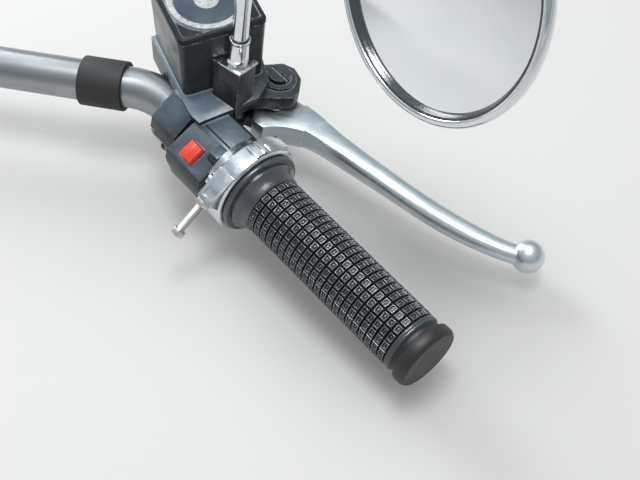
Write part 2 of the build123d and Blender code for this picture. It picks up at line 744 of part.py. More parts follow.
def make_mirror_bowl(head, ball, elbow):
    """Domed shell with its ball socket, chrome rim, rubber gasket and glass."""
    rim_in = mirror_radius - mirror_rim_wall
    glass_radius = rim_in - gasket_width
    low = -mirror_rim_width
    rim = head_turned(
        head, (rim_in, -0.7), (rim_in + 1.0, 0), (mirror_radius - 1.3, 0), (mirror_radius, -1.1),
        (mirror_radius, -2.8), (mirror_radius - 1.6, low), (rim_in, low),
    )
    gasket = head_turned(
        head, (rim_in - 0.5, -0.4), (glass_radius + 0.5, -0.8), (glass_radius, -1.5),
        (glass_radius, -glass_bottom), (rim_in, -glass_bottom), (rim_in, -0.9),
    )
    glass = head_turned(
        head, (0, -glass_recess), (glass_radius, -glass_recess - glass_bulge),
        (glass_radius, -glass_bottom), (0, -glass_bottom),
    )
    dome_depth = mirror_ball_back - 13.0
    dome_edge = mirror_radius - 2.0
    dome = make_face([
        Line((0, 0, -glass_bottom), (rim_in, 0, -glass_bottom)),
        Line((rim_in, 0, -glass_bottom), (rim_in, 0, low)),
        Line((rim_in, 0, low), (dome_edge, 0, low)),
        ThreePointArc((dome_edge, 0, low), (38.0, 0, -0.78 * dome_depth), (12.0, 0, -dome_depth)),
        Line((12.0, 0, -dome_depth), (socket_radius, 0, -dome_depth - 3)),
        Line((socket_radius, 0, -dome_depth - 3), (socket_radius, 0, -mirror_ball_back)),
        Line((socket_radius, 0, -mirror_ball_back), (0, 0, -mirror_ball_back)),
        Line((0, 0, -mirror_ball_back), (0, 0, -glass_bottom)),
    ])
    shell = head.location * revolve(dome, Axis.Z, 360)
    shell -= Pos(*ball) * Sphere(mirror_ball_radius + socket_clearance)
    shell -= arm_relief(ball, elbow)
    return {"rim": rim, "gasket": gasket, "glass": glass, "shell": shell}


def arm_relief(ball, elbow):
    """Slot in the socket's side that the arm leaves through."""
    away = elbow - ball
    return extrude(Plane(origin=ball, z_dir=away) * Circle(stem_radius + arm_clearance), away.length)


make_handlebar()
make_levers()
make_brake_side()
make_reservoir()
make_clutch_side()
make_switch_boxes()
make_throttle_housing()
make_grips()
make_mirrors()

os.makedirs("parts", exist_ok=True)
for name, solid in pieces.items():
    export_step(solid, f"parts/{name}.step")
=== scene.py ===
"""Looks for a motorcycle handlebar with its hand controls.

Lengths inside a control end are in millimetres in its own frame: x is the station along the
bar from the bend, y runs forward and z runs up. Everything else is in metres.
"""
import json
import math

import bmesh
import bpy
from bpy.props import FloatProperty, FloatVectorProperty, IntProperty, PointerProperty
from mathutils import Matrix, Vector
from mathutils.bvhtree import BVHTree

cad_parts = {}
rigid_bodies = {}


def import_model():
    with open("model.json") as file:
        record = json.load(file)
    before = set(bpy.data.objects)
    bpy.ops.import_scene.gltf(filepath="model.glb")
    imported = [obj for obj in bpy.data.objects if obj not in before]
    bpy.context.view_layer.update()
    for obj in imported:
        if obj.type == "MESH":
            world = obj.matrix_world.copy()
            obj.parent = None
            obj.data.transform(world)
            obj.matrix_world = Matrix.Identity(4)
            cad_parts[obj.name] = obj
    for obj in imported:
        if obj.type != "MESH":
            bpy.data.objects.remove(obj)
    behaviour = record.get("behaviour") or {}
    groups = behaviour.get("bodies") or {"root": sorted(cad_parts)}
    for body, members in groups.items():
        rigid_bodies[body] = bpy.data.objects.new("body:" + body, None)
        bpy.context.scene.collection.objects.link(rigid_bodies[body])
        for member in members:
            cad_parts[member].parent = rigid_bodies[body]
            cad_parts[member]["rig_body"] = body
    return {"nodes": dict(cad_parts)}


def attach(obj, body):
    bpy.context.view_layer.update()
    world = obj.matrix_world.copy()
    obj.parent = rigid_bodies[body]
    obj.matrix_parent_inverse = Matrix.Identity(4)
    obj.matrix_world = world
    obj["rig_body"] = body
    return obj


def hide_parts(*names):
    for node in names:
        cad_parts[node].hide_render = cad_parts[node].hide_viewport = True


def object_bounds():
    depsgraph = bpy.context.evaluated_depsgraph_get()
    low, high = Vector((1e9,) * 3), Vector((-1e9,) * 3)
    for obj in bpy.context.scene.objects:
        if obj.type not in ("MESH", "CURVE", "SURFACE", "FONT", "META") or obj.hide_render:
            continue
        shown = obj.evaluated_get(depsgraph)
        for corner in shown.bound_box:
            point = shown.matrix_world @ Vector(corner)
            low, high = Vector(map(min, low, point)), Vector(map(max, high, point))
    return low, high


bl_info = {
    "name": "Handlebar with controls",
    "version": (1, 0, 0),
    "blender": (4, 5, 0),
    "location": "View3D > Sidebar > Handlebar",
    "description": "Grips, finishes, fasteners and studio for a motorcycle handlebar",
    "category": "Object",
}

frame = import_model()
CAD_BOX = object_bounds()
NODES = frame["nodes"]

# The control end's frame, as the solids have it
PULLBACK = math.radians(36.5)
DROOP = math.radians(5.0)
ALONG = Vector((
    math.cos(DROOP) * math.cos(PULLBACK), -math.cos(DROOP) * math.sin(PULLBACK), -math.sin(DROOP),
))
UPWARD = (Vector((0, 0, 1)) + ALONG * math.sin(DROOP)).normalized()
FORWARD = UPWARD.cross(ALONG)
BEND = Vector((0.1525, 0, 0))
LEFT_SHIFT = 0.015
LEVER_TILT = math.radians(-8.0)

# The throttle housing's mouth in the photograph: what lies past the first station is drawn back
MOUTH_FROM = 86.0
MOUTH_SETBACK = 4.6

# The grip: radii of its bore, of the throttle tube inside it and of the floor between the pads,
# and the stations where its neck ends and where its end flange's groove begins
GRIP_BORE = 11.3
TUBE_RADIUS = 13.0
GROOVE_FLOOR = 14.95
NECK_END = 96.25
END_GROOVE = 198.4

# A pad's share of its cell along and round the grip, its taper, how far its foot reaches into
# the sleeve, and how much more than its height it is lifted before its first step
PAD_ALONG = 0.80
PAD_ROUND = 0.84
PAD_TAPER = 0.95
PAD_FOOT = 0.3
PAD_LIFT = 0.12

# The reservoir above the deck, and its cap above that, in mm
TANK_PLACE = (10.8, 27.3, 19.0)
TANK_TURN = math.radians(-17)
CAP_PLACE = (0.9, -0.6, 41.7)

# The mirror head's frame
MIRROR_CENTRE = Vector((0.2994, -0.0526, 0.1422))
MIRROR_FACING = Vector((-0.624, -0.714, 0.318)).normalized()

# The camera, solved from the bar's end, the grip and the lever
CAMERA_PLACE = Vector((0.32899, -0.41059, 0.44965))
CAMERA_TURN = math.radians(12.0)
CAMERA_DROP = math.radians(53.0)

# Dust with a painted sheen on flat faces that look up, a painted highlight in corners, the studio's plain
# colours and the lamps' tint
DUST_AND_SHEEN = (0.20, 0.29, 0.355)
COVE_HIGHLIGHT = (0.46, 0.56, 0.62)
BACKDROP = (0.74, 0.735, 0.73)
ROOM_LIGHT = (0.53, 0.535, 0.54)
LAMP_TINT = (0.94, 0.975, 1.0)

# What shiny faces see of the room, from its level up to its top
ROOM_SHINE = (
    (0.02, (0.70, 0.73, 0.75)), (0.14, (0.288, 0.32, 0.336)), (0.40, (0.342, 0.38, 0.399)),
    (0.75, (0.47, 0.52, 0.56)),
)

MILLIMETRE = Matrix.Scale(0.001, 4)
FLIP = Matrix.Scale(-1, 4, (1, 0, 0))


def axes_matrix(place, x_axis, y_axis, z_axis):
    """Matrix from three axes and a place."""
    turn = Matrix((x_axis, y_axis, z_axis)).transposed().to_4x4()
    return Matrix.Translation(place) @ turn


def end_matrix(side, shifted=True, tilted=False):
    """From millimetres in a control end's frame to metres in the object's frame."""
    up, forward = UPWARD, FORWARD
    if tilted:
        up = UPWARD * math.cos(LEVER_TILT) - FORWARD * math.sin(LEVER_TILT)
        forward = up.cross(ALONG)
    matrix = axes_matrix(BEND, ALONG, forward, up) @ MILLIMETRE
    if side == "left":
        shift = ALONG * LEFT_SHIFT if shifted else Vector((0, 0, 0))
        matrix = FLIP @ Matrix.Translation(shift) @ matrix
    return matrix


def head_matrix(side):
    """From millimetres on the mirror's own axis, z out of the glass, to metres."""
    across = MIRROR_FACING.cross(Vector((0, 0, 1))).normalized()
    matrix = axes_matrix(MIRROR_CENTRE, across, MIRROR_FACING.cross(across), MIRROR_FACING) @ MILLIMETRE
    if side == "left":
        matrix = FLIP @ Matrix.Translation(ALONG * LEFT_SHIFT) @ matrix
    return matrix


# ---------- sizes and colours that a user would change ----------


class HandlebarSizes(bpy.types.PropertyGroup):
    waffle_rows: IntProperty(name="Waffle rows", description="Rows of pads along the grip", default=22, min=4)
    waffle_round: IntProperty(name="Pads round", description="Pads round the grip", default=20, min=8)
    waffle_start: FloatProperty(
        name="Waffle start", description="Station of the first row, in mm", default=96.2)
    waffle_length: FloatProperty(
        name="Waffle length", description="Length of the patterned part, in mm", default=98.8)
    pad_height: FloatProperty(name="Pad height", description="How far a pad stands up, in mm", default=1.5)
    pad_turn: FloatProperty(
        name="Pad turn", description="How far the first pad is turned back from the top, in degrees",
        default=6.5)
    grip_radius: FloatProperty(name="Grip radius", description="Radius over the pads, in mm", default=16.4)


class HandlebarFinish(bpy.types.PropertyGroup):
    cast_black: FloatVectorProperty(
        name="Cast black", description="Satin black paint of the castings", subtype="COLOR",
        default=(0.020, 0.023, 0.025))
    box_black: FloatVectorProperty(
        name="Box black", description="Moulded plastic of the switch boxes", subtype="COLOR",
        default=(0.020, 0.025, 0.028))
    tank_black: FloatVectorProperty(
        name="Tank black", description="Reservoir plastic", subtype="COLOR", default=(0.030, 0.035, 0.039))
    rubber_black: FloatVectorProperty(
        name="Rubber", description="Grip rubber", subtype="COLOR", default=(0.017, 0.018, 0.019))
    rocker_red: FloatVectorProperty(
        name="Rocker red", description="Kill switch button", subtype="COLOR", default=(0.90, 0.056, 0.019))
    chrome: FloatVectorProperty(
        name="Chrome", description="Plated parts", subtype="COLOR", default=(0.77, 0.81, 0.835))
    # The alloy's blue-grey tone, darker than bare polished alloy, is partly a painted reflection of a pale
    # blue sky
    alloy: FloatVectorProperty(
        name="Alloy", description="Polished levers", subtype="COLOR", default=(0.72, 0.78, 0.81))
    zinc: FloatVectorProperty(
        name="Zinc", description="Screws and nuts", subtype="COLOR", default=(0.66, 0.65, 0.61))
    floor: FloatVectorProperty(
        name="Floor", description="Studio floor", subtype="COLOR", default=(0.76, 0.75, 0.735))


# ---------- materials ----------


class Nodes:
    """Short way to build one material's node tree."""

    def __init__(self, name):
        self.material = bpy.data.materials.new(name)
        self.material.use_nodes = True
        self.tree = self.material.node_tree
        self.shader = self.tree.nodes["Principled BSDF"]
        self.place = self.add("ShaderNodeTexCoord")

    def add(self, kind, **settings):
        node = self.tree.nodes.new(kind)
        for key, value in settings.items():
            setattr(node, key, value)
        return node

    def link(self, out, into):
        self.tree.links.new(out, into)

    def noise(self, scale, detail=4.0, stretch=None, distortion=0.0):
        """Noise on the piece's own place, in metres."""
        node = self.add("ShaderNodeTexNoise")
        node.inputs["Scale"].default_value = scale
        node.inputs["Detail"].default_value = detail
        node.inputs["Roughness"].default_value = 0.55
        node.inputs["Distortion"].default_value = distortion
        source = self.place.outputs["Object"]
        if stretch:
            mapping = self.add("ShaderNodeMapping")
            mapping.inputs["Rotation"].default_value = stretch[1]
            mapping.inputs["Scale"].default_value = stretch[0]
            self.link(source, mapping.inputs["Vector"])
            source = mapping.outputs["Vector"]
        self.link(source, node.inputs["Vector"])
        return node.outputs["Fac"]

    def spread(self, value, low, high, from_low=0.3, from_high=0.7):
        """Remap a noise value to a range."""
        node = self.add("ShaderNodeMapRange")
        node.inputs["From Min"].default_value = from_low
        node.inputs["From Max"].default_value = from_high
        node.inputs["To Min"].default_value = low
        node.inputs["To Max"].default_value = high
        self.link(value, node.inputs["Value"])
        return node.outputs["Result"]

    def blend(self, factor, first, second):
        """Mix two colours by a value."""
        node = self.add("ShaderNodeMix", data_type="RGBA")
        for socket, colour in ((node.inputs[6], first), (node.inputs[7], second)):
            if isinstance(colour, bpy.types.NodeSocket):
                self.link(colour, socket)
            else:
                socket.default_value = (*colour, 1.0)
        self.link(factor, node.inputs[0])
        return node.outputs[2]

    def bump(self, height, strength, distance, after=None):
        """Bump from a height, laid over an earlier one where there is one."""
        node = self.add("ShaderNodeBump")
        node.inputs["Strength"].default_value = strength
        node.inputs["Distance"].default_value = distance
        self.link(height, node.inputs["Height"])
        if after:
            self.link(after, node.inputs["Normal"])
        return node.outputs["Normal"]

    def times(self, first, second):
        """Product of two values."""
        node = self.add("ShaderNodeMath", operation="MULTIPLY")
        self.link(first, node.inputs[0])
        self.link(second, node.inputs[1])
        return node.outputs[0]

    def forward(self):
        """How far forward of the bar a point lies, at either end."""
        split = self.add("ShaderNodeSeparateXYZ")
        size = self.add("ShaderNodeMath", operation="ABSOLUTE")
        join = self.add("ShaderNodeCombineXYZ")
        shift = self.add("ShaderNodeVectorMath", operation="SUBTRACT")
        reach = self.add("ShaderNodeVectorMath", operation="DOT_PRODUCT")
        self.link(self.place.outputs["Object"], split.inputs[0])
        self.link(split.outputs["X"], size.inputs[0])
        self.link(size.outputs[0], join.inputs["X"])
        self.link(split.outputs["Y"], join.inputs["Y"])
        self.link(split.outputs["Z"], join.inputs["Z"])
        self.link(join.outputs[0], shift.inputs[0])
        shift.inputs[1].default_value = BEND
        self.link(shift.outputs[0], reach.inputs[0])
        reach.inputs[1].default_value = FORWARD
        return reach.outputs["Value"]

    def openness(self, distance):
        """How open the surroundings are: one on a free face, less in a corner or a gap."""
        node = self.add("ShaderNodeAmbientOcclusion", samples=8)
        node.inputs["Distance"].default_value = distance
        return node.outputs["AO"]

    def upward(self, low, high, amount=1.0):
        """How far a face looks up, from nothing at one height of its normal to an amount at another."""
        split = self.add("ShaderNodeSeparateXYZ")
        self.link(self.place.outputs["Normal"], split.inputs[0])
        return self.spread(split.outputs["Z"], 0.0, amount, low, high)

    def edges(self, radius):
        """How sharply the surface turns within a small radius: zero on flats."""
        bevel = self.add("ShaderNodeBevel", samples=6)
        bevel.inputs["Radius"].default_value = radius
        geometry = self.add("ShaderNodeNewGeometry")
        dot = self.add("ShaderNodeVectorMath", operation="DOT_PRODUCT")
        self.link(bevel.outputs["Normal"], dot.inputs[0])
        self.link(geometry.outputs["Normal"], dot.inputs[1])
        return self.spread(dot.outputs["Value"], 1.0, 0.0, 0.9, 0.995)


def scaled(colour, factor):
    """A colour made brighter or darker."""
    return tuple(min(1.0, channel * factor) for channel in colour)


def painted(name, colour, rough, grain, worn=None, dust_and_sheen=0.0, gloss=0.5):
    """Satin black paint or moulding: mottled, with fine grain, lighter rubbed edges, settled dust with a
    painted sheen on faces that look up, and a painted highlight in corners.
    """
    n = Nodes(name)
    mottle = n.noise(90, 5)
    base = n.blend(n.spread(mottle, 0, 1), scaled(colour, 0.8), scaled(colour, 1.35))
    # Settled dust together with a painted sheen on faces that look up, fading towards the front
    if dust_and_sheen:
        patches = n.spread(n.noise(75, 5, distortion=0.6), 0.40, 1.0, 0.32, 0.62)
        film = n.times(n.upward(0.70, 0.98, dust_and_sheen), patches)
        film = n.times(film, n.spread(n.forward(), 1.0, 0.2, 0.026, 0.040))
        base = n.blend(film, base, DUST_AND_SHEEN)
        # Pale colour in corners that look up: a painted highlight where a fillet would catch light
        corner = n.times(n.spread(n.openness(0.0020), 1.0, 0.0, 0.50, 0.86), n.upward(0.35, 0.90))
        base = n.blend(corner, base, COVE_HIGHLIGHT)
    if worn:
        rub = n.times(n.edges(0.0009), n.spread(n.noise(420, 3), 0.0, 0.8, 0.42, 0.62))
        base = n.blend(rub, base, worn)
        chips = n.times(n.edges(0.0006), n.spread(n.noise(650, 4), 0.0, 1.0, 0.52, 0.60))
        base = n.blend(chips, base, scaled(worn, 3.0))
    n.link(base, n.shader.inputs["Base Color"])
    n.link(n.spread(n.noise(60, 4), rough - 0.07, rough + 0.09), n.shader.inputs["Roughness"])
    n.link(n.bump(n.noise(grain, 3), 0.25, 0.00025), n.shader.inputs["Normal"])
    n.shader.inputs["Specular IOR Level"].default_value = gloss
    return n.material


def plated(name, colour, rough, ripple=0.0, speckle=0.12):
    """Bright metal with a faint ripple, smears and tiny pits."""
    n = Nodes(name)
    n.shader.inputs["Metallic"].default_value = 1.0
    smear = n.noise(45, 4)
    pits = n.spread(n.noise(1500, 2), 0.0, speckle, 0.60, 0.72)
    base = n.blend(n.spread(smear, 0, 0.5), colour, scaled(colour, 0.86))
    base = n.blend(pits, base, scaled(colour, 0.35))
    n.link(base, n.shader.inputs["Base Color"])
    n.link(n.spread(n.noise(70, 5), rough, rough + 0.08), n.shader.inputs["Roughness"])
    if ripple:
        n.link(n.bump(n.noise(130, 2), 0.35, ripple), n.shader.inputs["Normal"])
    return n.material


def polished_alloy(name, colour):
    """Cast alloy polished by hand: soft scratches along the piece and duller patches."""
    n = Nodes(name)
    n.shader.inputs["Metallic"].default_value = 1.0
    turn = (0, 0, -math.atan2(ALONG.y, ALONG.x))
    lines = n.noise(900, 3, stretch=((0.06, 1.0, 1.0), turn))
    patch = n.noise(60, 4)
    n.link(n.blend(n.spread(patch, 0, 1), colour, scaled(colour, 0.9)), n.shader.inputs["Base Color"])
    n.link(n.spread(lines, 0.28, 0.44), n.shader.inputs["Roughness"])
    wave = n.bump(n.noise(45, 2), 0.2, 0.0007)
    n.link(n.bump(lines, 0.10, 0.0001, wave), n.shader.inputs["Normal"])
    return n.material


def cast_chrome(name, colour):
    """Chrome over a sand casting: an uneven skin under the plating."""
    n = Nodes(name)
    n.shader.inputs["Metallic"].default_value = 1.0
    skin = n.noise(210, 3)
    coarse = n.noise(80, 2)
    n.link(n.blend(n.spread(skin, 0, 1), colour, scaled(colour, 0.82)), n.shader.inputs["Base Color"])
    n.link(n.spread(n.noise(160, 4), 0.12, 0.30), n.shader.inputs["Roughness"])
    lumps = n.bump(coarse, 0.4, 0.0009)
    n.link(n.bump(skin, 0.3, 0.00035, lumps), n.shader.inputs["Normal"])
    return n.material


def hammered_plate(name, colour):
    """Thin bright washer plate, dented by the nut."""
    n = Nodes(name)
    n.shader.inputs["Metallic"].default_value = 1.0
    dents = n.noise(330, 2, distortion=0.4)
    n.link(n.blend(n.spread(dents, 0, 1), colour, scaled(colour, 0.5)), n.shader.inputs["Base Color"])
    n.link(n.spread(dents, 0.08, 0.35), n.shader.inputs["Roughness"])
    n.link(n.bump(dents, 0.6, 0.0008), n.shader.inputs["Normal"])
    return n.material


def grip_rubber(name, colour):
    """Black rubber with dust and a painted sheen on open faces that look up, and paler edges that are partly
    rubbed and partly a painted glint.
    """
    n = Nodes(name)
    dust_and_sheen = n.noise(38, 5, distortion=0.3)
    base = n.blend(n.spread(dust_and_sheen, 0, 1, 0.4, 0.75), colour, scaled(colour, 1.9))
    # Dust together with a painted sheen on open faces that look up, kept off the gaps between pads
    open_face = n.times(n.spread(n.openness(0.0030), 0.0, 1.0, 0.55, 0.95), n.upward(0.25, 0.95, 0.42))
    base = n.blend(n.times(open_face, n.spread(dust_and_sheen, 0.6, 1.0)), base, scaled(DUST_AND_SHEEN, 0.62))
    # Paler edges: partly rubbed, partly a painted glint
    rub = n.times(n.edges(0.0004), n.spread(n.noise(260, 3), 0.35, 1.0, 0.35, 0.6))
    base = n.blend(rub, base, scaled(DUST_AND_SHEEN, 0.55))
    n.link(base, n.shader.inputs["Base Color"])
    n.link(n.spread(n.noise(300, 3), 0.20, 0.28), n.shader.inputs["Roughness"])
    n.link(n.bump(n.noise(1900, 2), 0.2, 0.00008), n.shader.inputs["Normal"])
    n.shader.inputs["Specular IOR Level"].default_value = 0.75
    return n.material


def rubbed_glint_rubber(name):
    """Rims of the pads, rubbed smooth by gloves, pale in patches that are partly wear and partly a painted
    glint.
    """
    n = Nodes(name)
    wear = n.noise(210, 4, distortion=0.4)
    # Pale patches: partly glove wear, partly a painted glint on the rims
    base = n.blend(n.spread(wear, 0, 1, 0.35, 0.62), (0.024, 0.027, 0.030), (0.085, 0.100, 0.110))
    n.link(base, n.shader.inputs["Base Color"])
    n.link(n.spread(n.noise(500, 3), 0.22, 0.34), n.shader.inputs["Roughness"])
    n.link(n.bump(n.noise(1900, 2), 0.15, 0.00006), n.shader.inputs["Normal"])
    n.shader.inputs["Specular IOR Level"].default_value = 1.0
    n.shader.inputs["Coat Weight"].default_value = 0.6
    n.shader.inputs["Coat Roughness"].default_value = 0.24
    return n.material


def wound_tape(name, colour):
    """Cloth tape wound round the bar: overlapping turns with a woven face."""
    n = Nodes(name)
    wave = n.add("ShaderNodeTexWave", wave_type="BANDS", bands_direction="X", wave_profile="SAW")
    wave.inputs["Scale"].default_value = 22.0
    wave.inputs["Distortion"].default_value = 0.6
    wave.inputs["Detail"].default_value = 1.0
    n.link(n.place.outputs["Object"], wave.inputs["Vector"])
    weave = n.noise(1400, 2)
    base = n.blend(n.spread(weave, 0, 1), scaled(colour, 0.7), scaled(colour, 1.5))
    n.link(base, n.shader.inputs["Base Color"])
    n.link(n.spread(weave, 0.55, 0.75), n.shader.inputs["Roughness"])
    turns = n.bump(wave.outputs["Fac"], 0.5, 0.0006)
    n.link(n.bump(weave, 0.4, 0.0002, turns), n.shader.inputs["Normal"])
    return n.material


def silvered_glass(name):
    """Front face of the mirror, with faint wiping marks."""
    n = Nodes(name)
    n.shader.inputs["Metallic"].default_value = 1.0
    wipe = n.noise(30, 5, distortion=1.2)
    base = n.blend(n.spread(wipe, 0, 1), (0.90, 0.93, 0.94), (0.86, 0.90, 0.91))
    n.link(base, n.shader.inputs["Base Color"])
    n.link(n.spread(wipe, 0.012, 0.045, 0.4, 0.8), n.shader.inputs["Roughness"])
    return n.material


def moulded_red(name, colour):
    """Orange-red plastic, sun-faded in patches."""
    n = Nodes(name)
    fade = n.noise(260, 3)
    base = n.blend(n.spread(fade, 0, 1), scaled(colour, 0.92), scaled(colour, 1.12))
    n.link(base, n.shader.inputs["Base Color"])
    n.link(n.spread(n.noise(420, 3), 0.32, 0.46), n.shader.inputs["Roughness"])
    n.link(n.bump(n.noise(1300, 2), 0.15, 0.00008), n.shader.inputs["Normal"])
    return n.material


def studio_floor(name, colour):
    """Pale painted floor with a barely visible mottle, which runs into the backdrop far from the object."""
    n = Nodes(name)
    reach = n.add("ShaderNodeVectorMath", operation="LENGTH")
    n.link(n.place.outputs["Object"], reach.inputs[0])
    seen = n.add("ShaderNodeLightPath")
    far = n.times(n.spread(reach.outputs["Value"], 0.0, 1.0, 0.35, 1.30), seen.outputs["Is Camera Ray"])
    mix = n.add("ShaderNodeMixShader")
    glow = n.add("ShaderNodeEmission")
    glow.inputs["Color"].default_value = (*BACKDROP, 1.0)
    output = n.tree.nodes["Material Output"]
    n.link(far, mix.inputs[0])
    n.link(n.shader.outputs[0], mix.inputs[1])
    n.link(glow.outputs[0], mix.inputs[2])
    n.link(mix.outputs[0], output.inputs["Surface"])
    base = n.blend(n.noise(2.5, 4), scaled(colour, 0.99), scaled(colour, 1.01))
    n.link(base, n.shader.inputs["Base Color"])
    n.link(n.spread(n.noise(6, 3), 0.75, 0.85), n.shader.inputs["Roughness"])
    return n.material


def worn_white(name):
    """Old pale lacquer, stained and scuffed through in spots."""
    n = Nodes(name)
    patches = n.spread(n.noise(240, 5, distortion=0.5), 0, 1, 0.35, 0.7)
    stain = n.blend(patches, (0.66, 0.70, 0.71), (0.40, 0.39, 0.34))
    scuffs = n.spread(n.noise(700, 4), 0.0, 0.85, 0.60, 0.66)
    n.link(n.blend(scuffs, stain, (0.05, 0.06, 0.08)), n.shader.inputs["Base Color"])
    n.link(n.spread(n.noise(300, 3), 0.25, 0.45), n.shader.inputs["Roughness"])
    n.link(n.bump(n.noise(600, 4), 0.3, 0.0001), n.shader.inputs["Normal"])
    return n.material


MATERIALS = {}


def make_materials(finish):
    """Every finish under a short key."""
    MATERIALS.update({
        "cast": painted(
            "satin_cast_black", finish.cast_black, 0.30, 900, worn=(0.20, 0.21, 0.21), dust_and_sheen=0.82, gloss=0.35),
        "box": painted("moulded_box_black", finish.box_black, 0.34, 1500, worn=(0.10, 0.11, 0.11), dust_and_sheen=0.5),
        "tank": painted(
            "tank_black", finish.tank_black, 0.24, 700, worn=(0.22, 0.25, 0.27), dust_and_sheen=0.05, gloss=0.3),
        "lid": painted(
            "lid_black", scaled(finish.tank_black, 0.85), 0.30, 700, worn=(0.22, 0.25, 0.27), dust_and_sheen=0.05,
            gloss=0.1),
        # Blue-grey, lighter than the rubber: a painted sheen on the grip's neck and the tube's flange
        "ring": painted("grip_ring_sheen_black", (0.050, 0.060, 0.071), 0.24, 1200, gloss=1.0),
        "gasket": painted("gasket_black", (0.026, 0.032, 0.038), 0.12, 1500, gloss=1.0),
        "rubber": grip_rubber("grip_rubber", finish.rubber_black),
        "rubbed_glint": rubbed_glint_rubber("grip_rubber_rubbed_glint"),
        # Darker than the rubber: painted shade on the floor between the pads
        "groove": painted("grip_groove_shaded_black", scaled(finish.rubber_black, 0.6), 0.62, 1200, gloss=0.1),
        "grip_end": painted("grip_end_black", (0.026, 0.025, 0.026), 0.45, 900, gloss=0.4),
        "tape": wound_tape("cloth_tape", (0.022, 0.022, 0.023)),
        "red": moulded_red("rocker_red", finish.rocker_red),
        "chrome": plated("chrome_plate", finish.chrome, 0.05),
        # The bar's chrome, darker than the other plating, is a painted shade for the darker surroundings it
        # reflects; its roughness makes it dull
        "bar": plated("bar_chrome_dulled_shaded", scaled(finish.chrome, 0.46), 0.34, speckle=0.3),
        "rim": plated("mirror_rim_chrome", finish.chrome, 0.10, ripple=0.0003),
        "housing": cast_chrome("housing_chrome", finish.chrome),
        "lever": polished_alloy("lever_alloy", finish.alloy),
        "zinc": plated("zinc_plate", finish.zinc, 0.34, ripple=0.0003, speckle=0.5),
        "plate": hammered_plate("washer_plate", finish.chrome),
        "glass": silvered_glass("mirror_glass"),
        "cap_ring": worn_white("cap_ring_white"),
        "cap_face": painted("cap_face_blue", (0.020, 0.026, 0.045), 0.30, 700, dust_and_sheen=0.3),
        "cap_middle": worn_white("cap_middle_white"),
        "floor": studio_floor("studio_floor", finish.floor),
    })


# ---------- making and placing pieces ----------


def finish_piece(name, bm, body, material, replaces=(), sharp=38, matrix=None, others=()):
    """Turn a bmesh into a finished object that rides on a body; others are its further finishes."""
    if matrix is not None:
        bmesh.ops.transform(bm, matrix=matrix, verts=bm.verts)
        bmesh.ops.recalc_face_normals(bm, faces=bm.faces)
    mesh = bpy.data.meshes.new(name)
    bm.to_mesh(mesh)
    bm.free()
    mesh.shade_smooth()
    mesh.set_sharp_from_angle(angle=math.radians(sharp))
    for key in (material, *others):
        mesh.materials.append(MATERIALS[key])
    piece = bpy.data.objects.new(name, mesh)
    bpy.context.scene.collection.objects.link(piece)
    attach(piece, body)
    if replaces:
        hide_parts(*replaces)


def round_edges(bm, width, sharper_than=30):
    """Round the edges that turn by more than an angle."""
    limit = math.radians(sharper_than)
    edges = [edge for edge in bm.edges if len(edge.link_faces) == 2 and edge.calc_face_angle(0) > limit]
    bmesh.ops.bevel(
        bm, geom=edges, offset=width, offset_type="OFFSET", segments=2, profile=0.5,
        affect="EDGES", clamp_overlap=True, material=-1,
    )


def spun(outline, steps=96):
    """Closed or axis-to-axis outline of (radius, height) points, spun about z."""
    bm = bmesh.new()
    verts = [bm.verts.new((radius, 0, height)) for radius, height in outline]
    edges = [bm.edges.new(pair) for pair in zip(verts, verts[1:])]
    if outline[0][0] > 0 and outline[-1][0] > 0:
        edges.append(bm.edges.new((verts[-1], verts[0])))
    bmesh.ops.spin(
        bm, geom=verts + edges, angle=math.tau, steps=steps, axis=(0, 0, 1), cent=(0, 0, 0),
        use_merge=True, use_duplicate=False,
    )
    bmesh.ops.remove_doubles(bm, verts=bm.verts, dist=1e-4)
    bmesh.ops.recalc_face_normals(bm, faces=bm.faces)
    return bm


def lay_along_bar(bm):
    """Turn a shape spun about z so that its height runs along the bar."""
    turn = Matrix.Rotation(math.pi / 2, 4, "Y")
    bmesh.ops.transform(bm, matrix=turn, verts=bm.verts)


def draw_back_mouth(bm):
    """Bring the throttle housing's face back to where the flange of the tube stands clear of it."""
    place = end_matrix("right")
    back = place.inverted()
    for vert in bm.verts:
        local = back @ vert.co
        if local.x > MOUTH_FROM:
            local.x -= MOUTH_SETBACK
            vert.co = place @ local


def softened(node, material, width, reshape=None):
    """A merged copy of a solid, reshaped where it needs it, with its edges rounded."""
    body = NODES[node]["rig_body"]
    bm = bmesh.new()
    bm.from_mesh(NODES[node].data)
    bmesh.ops.remove_doubles(bm, verts=bm.verts, dist=2e-6)
    if reshape:
        reshape(bm)
    bmesh.ops.dissolve_limit(bm, angle_limit=math.radians(0.6), verts=bm.verts, edges=bm.edges)
    if width:
        round_edges(bm, width)
    finish_piece(f"{node}_finished", bm, body, material, replaces=(node,))


RESHAPED = {"throttle_housing_upper": draw_back_mouth, "throttle_housing_lower": draw_back_mouth}

